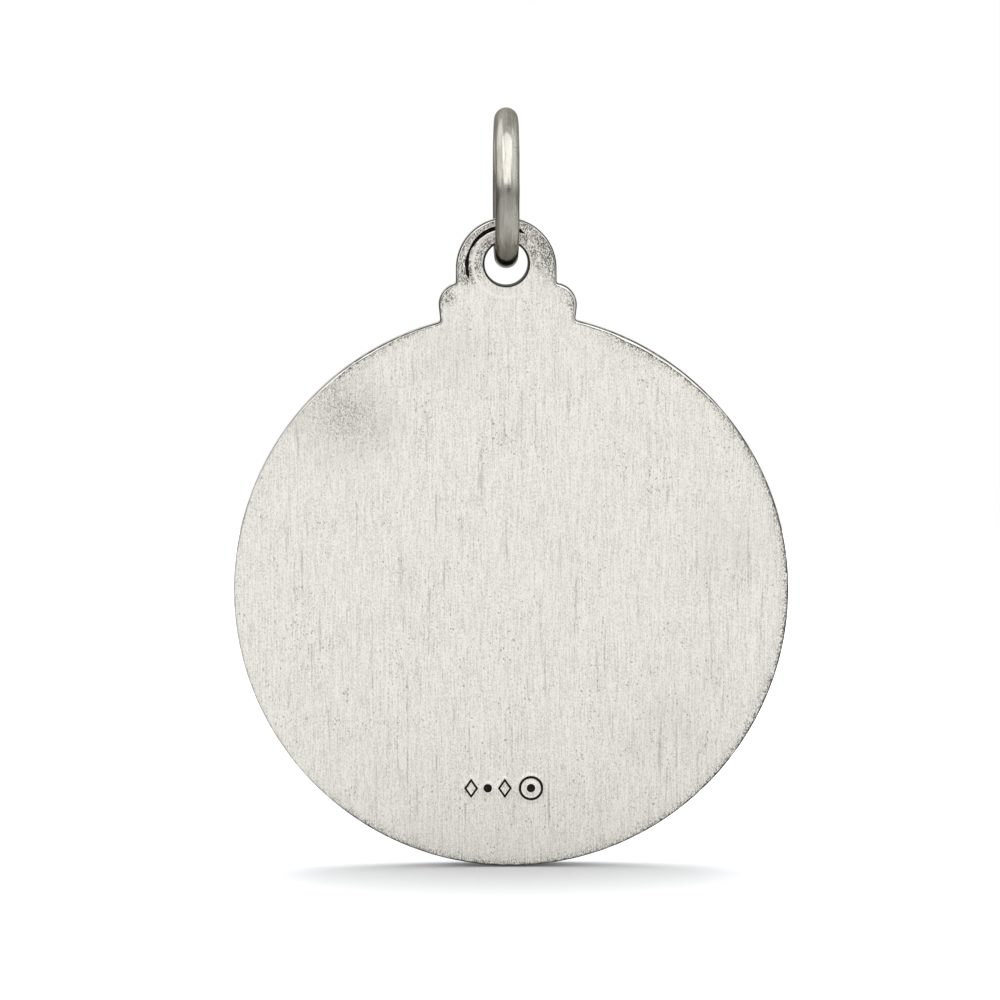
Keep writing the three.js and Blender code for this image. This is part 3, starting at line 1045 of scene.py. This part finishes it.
def facing(thing, back, distance):
    """Puts a camera or light at a distance along a direction, facing the medal."""
    bpy.context.collection.objects.link(thing)
    thing.location = FRAME_CENTRE + back * distance
    thing.rotation_mode = "QUATERNION"
    thing.rotation_quaternion = (-back).to_track_quat("-Z", "Y")


def camera():
    """A long lens that sees the medal from a little above and to the left."""
    data = bpy.data.cameras.new("camera")
    data.lens, data.sensor_width = LENS, SENSOR
    data.clip_start, data.clip_end = 0.001, 10.0
    seen = bpy.data.objects.new("camera", data)
    facing(seen, direction(VIEW_RIGHT, VIEW_UP), FRAME_WIDTH * MM * LENS / SENSOR)
    bpy.context.scene.camera = seen


def soft_light(name, turn, rise, distance, width, height, radiance):
    """A soft rectangular light at a direction from the medal, in degrees, that faces the medal."""
    data = bpy.data.lights.new(name, "AREA")
    data.shape = "RECTANGLE"
    data.size, data.size_y = width, height
    data.energy = radiance * math.pi * width * height
    light = bpy.data.objects.new(name, data)
    facing(light, direction(turn, rise), distance)
    light.visible_camera = False
    return light


# Lights: turn and rise in degrees, distance, width and height in metres, radiance
KEY = (-4, 47, 0.60, 0.98, 1.0, 0.90)
RING_LEFT = (-95, 32, 0.60, 0.90, 0.70, 0.50)
RING_RIGHT = (78, 32, 0.60, 0.60, 0.70, 0.30)
OVERHEAD = (180, 68, 0.60, 0.46, 0.46, 4.2)
# Brightness of the room by height, from straight down to straight up, in front and behind
ROOM_FRONT = [(0.0, 0.52), (0.42, 0.545), (0.54, 0.54), (0.68, 0.74), (1.0, 0.56)]
ROOM_BEHIND = [(0.0, 0.30), (0.45, 0.38), (0.6, 0.56), (0.75, 0.76), (1.0, 0.58)]


def level_ramp(tree, height, stops):
    """A grey level that changes with height."""
    ramp = tree.nodes.new("ShaderNodeValToRGB")
    ramp.color_ramp.elements[0].position = stops[0][0]
    ramp.color_ramp.elements[1].position = stops[-1][0]
    for position, level in stops[1:-1]:
        ramp.color_ramp.elements.new(position)
    for element, (position, level) in zip(ramp.color_ramp.elements, stops):
        element.color = (level, level, level * 0.985, 1.0)
    tree.links.new(height, ramp.inputs["Fac"])
    return ramp.outputs["Color"]


def as_share(tree, socket, low, high):
    """A direction's component spread from a range to 0 to 1."""
    node = tree.nodes.new("ShaderNodeMapRange")
    node.inputs["From Min"].default_value = low
    node.inputs["From Max"].default_value = high
    tree.links.new(socket, node.inputs["Value"])
    return node.outputs["Result"]


def shine_only_on(light, things):
    """Limits a light to some objects; the others still throw its shadow."""
    lit = bpy.data.collections.new(light.name + "_lights")
    for thing in things:
        lit.objects.link(thing)
    light.light_linking.receiver_collection = lit


def studio(medal_piece, ring_piece, ground):
    """A white room to the eye, dimmer behind and below in the metal's reflections, and four soft lights."""
    world = bpy.data.worlds.new("studio")
    bpy.context.scene.world = world
    world.use_nodes = True
    tree = world.node_tree
    tree.nodes.clear()
    out = tree.nodes.new("ShaderNodeOutputWorld")
    seen = tree.nodes.new("ShaderNodeBackground")
    seen.inputs["Color"].default_value = (1.0, 1.0, 1.0, 1.0)
    room = tree.nodes.new("ShaderNodeBackground")
    split = tree.nodes.new("ShaderNodeSeparateXYZ")
    tree.links.new(tree.nodes.new("ShaderNodeTexCoord").outputs["Generated"], split.inputs[0])
    height = as_share(tree, split.outputs["Z"], -1.0, 1.0)
    blend = tree.nodes.new("ShaderNodeMix")
    blend.data_type = "RGBA"
    tree.links.new(as_share(tree, split.outputs["Y"], -0.35, 0.35), blend.inputs["Factor"])
    in_front, behind = [socket for socket in blend.inputs if socket.type == "RGBA"]
    tree.links.new(level_ramp(tree, height, ROOM_FRONT), in_front)
    tree.links.new(level_ramp(tree, height, ROOM_BEHIND), behind)
    tree.links.new(next(o for o in blend.outputs if o.type == "RGBA"), room.inputs["Color"])
    mix = tree.nodes.new("ShaderNodeMixShader")
    tree.links.new(tree.nodes.new("ShaderNodeLightPath").outputs["Is Camera Ray"], mix.inputs["Fac"])
    tree.links.new(room.outputs[0], mix.inputs[1])
    tree.links.new(seen.outputs[0], mix.inputs[2])
    tree.links.new(mix.outputs[0], out.inputs["Surface"])
    shine_only_on(soft_light("key", *KEY), [medal_piece, ring_piece])
    shine_only_on(soft_light("left", *RING_LEFT), [ring_piece])
    shine_only_on(soft_light("right", *RING_RIGHT), [ring_piece])
    shine_only_on(soft_light("overhead", *OVERHEAD), [ground])


FLOOR_GAP = 0.05 * MM
FLOOR_REACH = 0.16
# The floor's glow, weak near the medal and strong farther out, which paints the floor darker round the
# medal: from and to a distance from the medal in metres, from and to a strength
FLOOR_GLOW = (0.002, 0.028, 0.05, 0.72)
FLOOR_COLOUR = (0.83, 0.845, 0.87, 1.0)
FLOOR_REFLECTED = (0.68, 0.68, 0.68, 1.0)


def floor(sides=96):
    """A plain pale floor just under the medal, dimmer in the metal's reflections than to the eye, with a
    glow that grows away from the medal and so paints it darker round the medal.
    """
    mesh = bpy.data.meshes.new("floor")
    turns = [2 * math.pi * i / sides for i in range(sides)]
    corners = [(FLOOR_REACH * math.cos(t), FLOOR_REACH * math.sin(t), 0.0) for t in turns]
    mesh.from_pydata(corners, [], [tuple(range(sides))])
    surface = bpy.data.materials.new("floor_white")
    surface.use_nodes = True
    tree = surface.node_tree
    plain = tree.nodes["Principled BSDF"]
    plain.inputs["Base Color"].default_value = FLOOR_COLOUR
    plain.inputs["Roughness"].default_value = 0.8
    plain.inputs["Specular IOR Level"].default_value = 0.0
    plain.inputs["Emission Color"].default_value = (1.0, 1.0, 1.0, 1.0)
    # Painted light: emission that grows with distance from the floor's middle, under the medal, so only the
    # nearby shadow stays dark
    away = tree.nodes.new("ShaderNodeVectorMath")
    away.operation = "LENGTH"
    tree.links.new(tree.nodes.new("ShaderNodeTexCoord").outputs["Object"], away.inputs[0])
    painted_glow = tree.nodes.new("ShaderNodeMapRange")
    for name, value in zip(("From Min", "From Max", "To Min", "To Max"), FLOOR_GLOW):
        painted_glow.inputs[name].default_value = value
    tree.links.new(away.outputs["Value"], painted_glow.inputs["Value"])
    tree.links.new(painted_glow.outputs["Result"], plain.inputs["Emission Strength"])
    dim = tree.nodes.new("ShaderNodeBsdfDiffuse")
    dim.inputs["Color"].default_value = FLOOR_REFLECTED
    mix = tree.nodes.new("ShaderNodeMixShader")
    tree.links.new(tree.nodes.new("ShaderNodeLightPath").outputs["Is Camera Ray"], mix.inputs["Fac"])
    tree.links.new(dim.outputs[0], mix.inputs[1])
    tree.links.new(plain.outputs[0], mix.inputs[2])
    tree.links.new(mix.outputs[0], tree.nodes["Material Output"].inputs["Surface"])
    mesh.materials.append(surface)
    ground = bpy.data.objects.new("floor", mesh)
    ground.location.z = CAD_LOW.z - FLOOR_GAP
    bpy.context.collection.objects.link(ground)
    return ground


pieces = medal(), jump_ring()
camera()
studio(*pieces, floor())
bpy.context.scene.view_settings.view_transform = "Standard"

bpy.context.view_layer.update()
